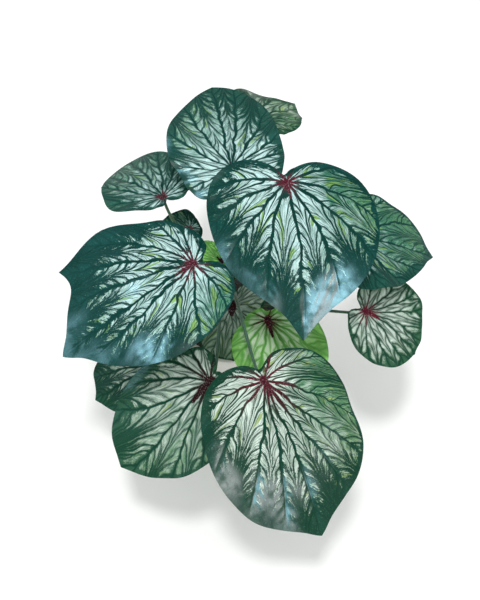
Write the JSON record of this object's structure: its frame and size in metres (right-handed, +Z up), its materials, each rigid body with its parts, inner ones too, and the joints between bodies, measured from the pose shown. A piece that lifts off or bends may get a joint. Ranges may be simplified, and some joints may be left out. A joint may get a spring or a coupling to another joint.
{
  "type": "potted caladium",
  "caption": "Potted caladium with broad heart-shaped leaves, pale between dark veins, on slim arching stalks that rise from soil in a plain tapered pot.",
  "frame": {"origin": "middle of the pot's flat base, on the surface that it stands on", "axes": "+Z up along the pot's axis, -Y to the side where the largest blades lean out, +X to the right seen from that side"},
  "size_m": [0.3796, 0.4716, 0.3586],
  "materials": {
    "blade_teal": "waxy leaf, dark teal green with pale mint between the veins",
    "blade_fresh": "waxy young leaf, fresh green with a dark red middle",
    "stalk_green": "smooth olive green stalk",
    "soil_brown": "dry dark potting soil",
    "pot_white": "plain pale fired clay, satin"
  },
  "bodies": {
    "root": {"blade_01": "blade_teal", "blade_02": "blade_teal", "blade_03": "blade_teal", "blade_04": "blade_teal", "blade_05": "blade_teal", "blade_06": "blade_teal", "blade_07": "blade_teal", "blade_08": "blade_teal", "blade_09": "blade_fresh", "blade_10": "blade_teal", "blade_11": "blade_teal", "blade_12": "blade_teal", "blade_13": "blade_teal", "blade_14": "blade_fresh", "stalk_01": "stalk_green", "stalk_02": "stalk_green", "stalk_03": "stalk_green", "stalk_04": "stalk_green", "stalk_05": "stalk_green", "stalk_06": "stalk_green", "stalk_07": "stalk_green", "stalk_08": "stalk_green", "stalk_09": "stalk_green", "stalk_10": "stalk_green", "stalk_11": "stalk_green", "stalk_12": "stalk_green", "stalk_13": "stalk_green", "stalk_14": "stalk_green", "soil": "soil_brown", "pot": "pot_white"}
  },
  "joints": []
}
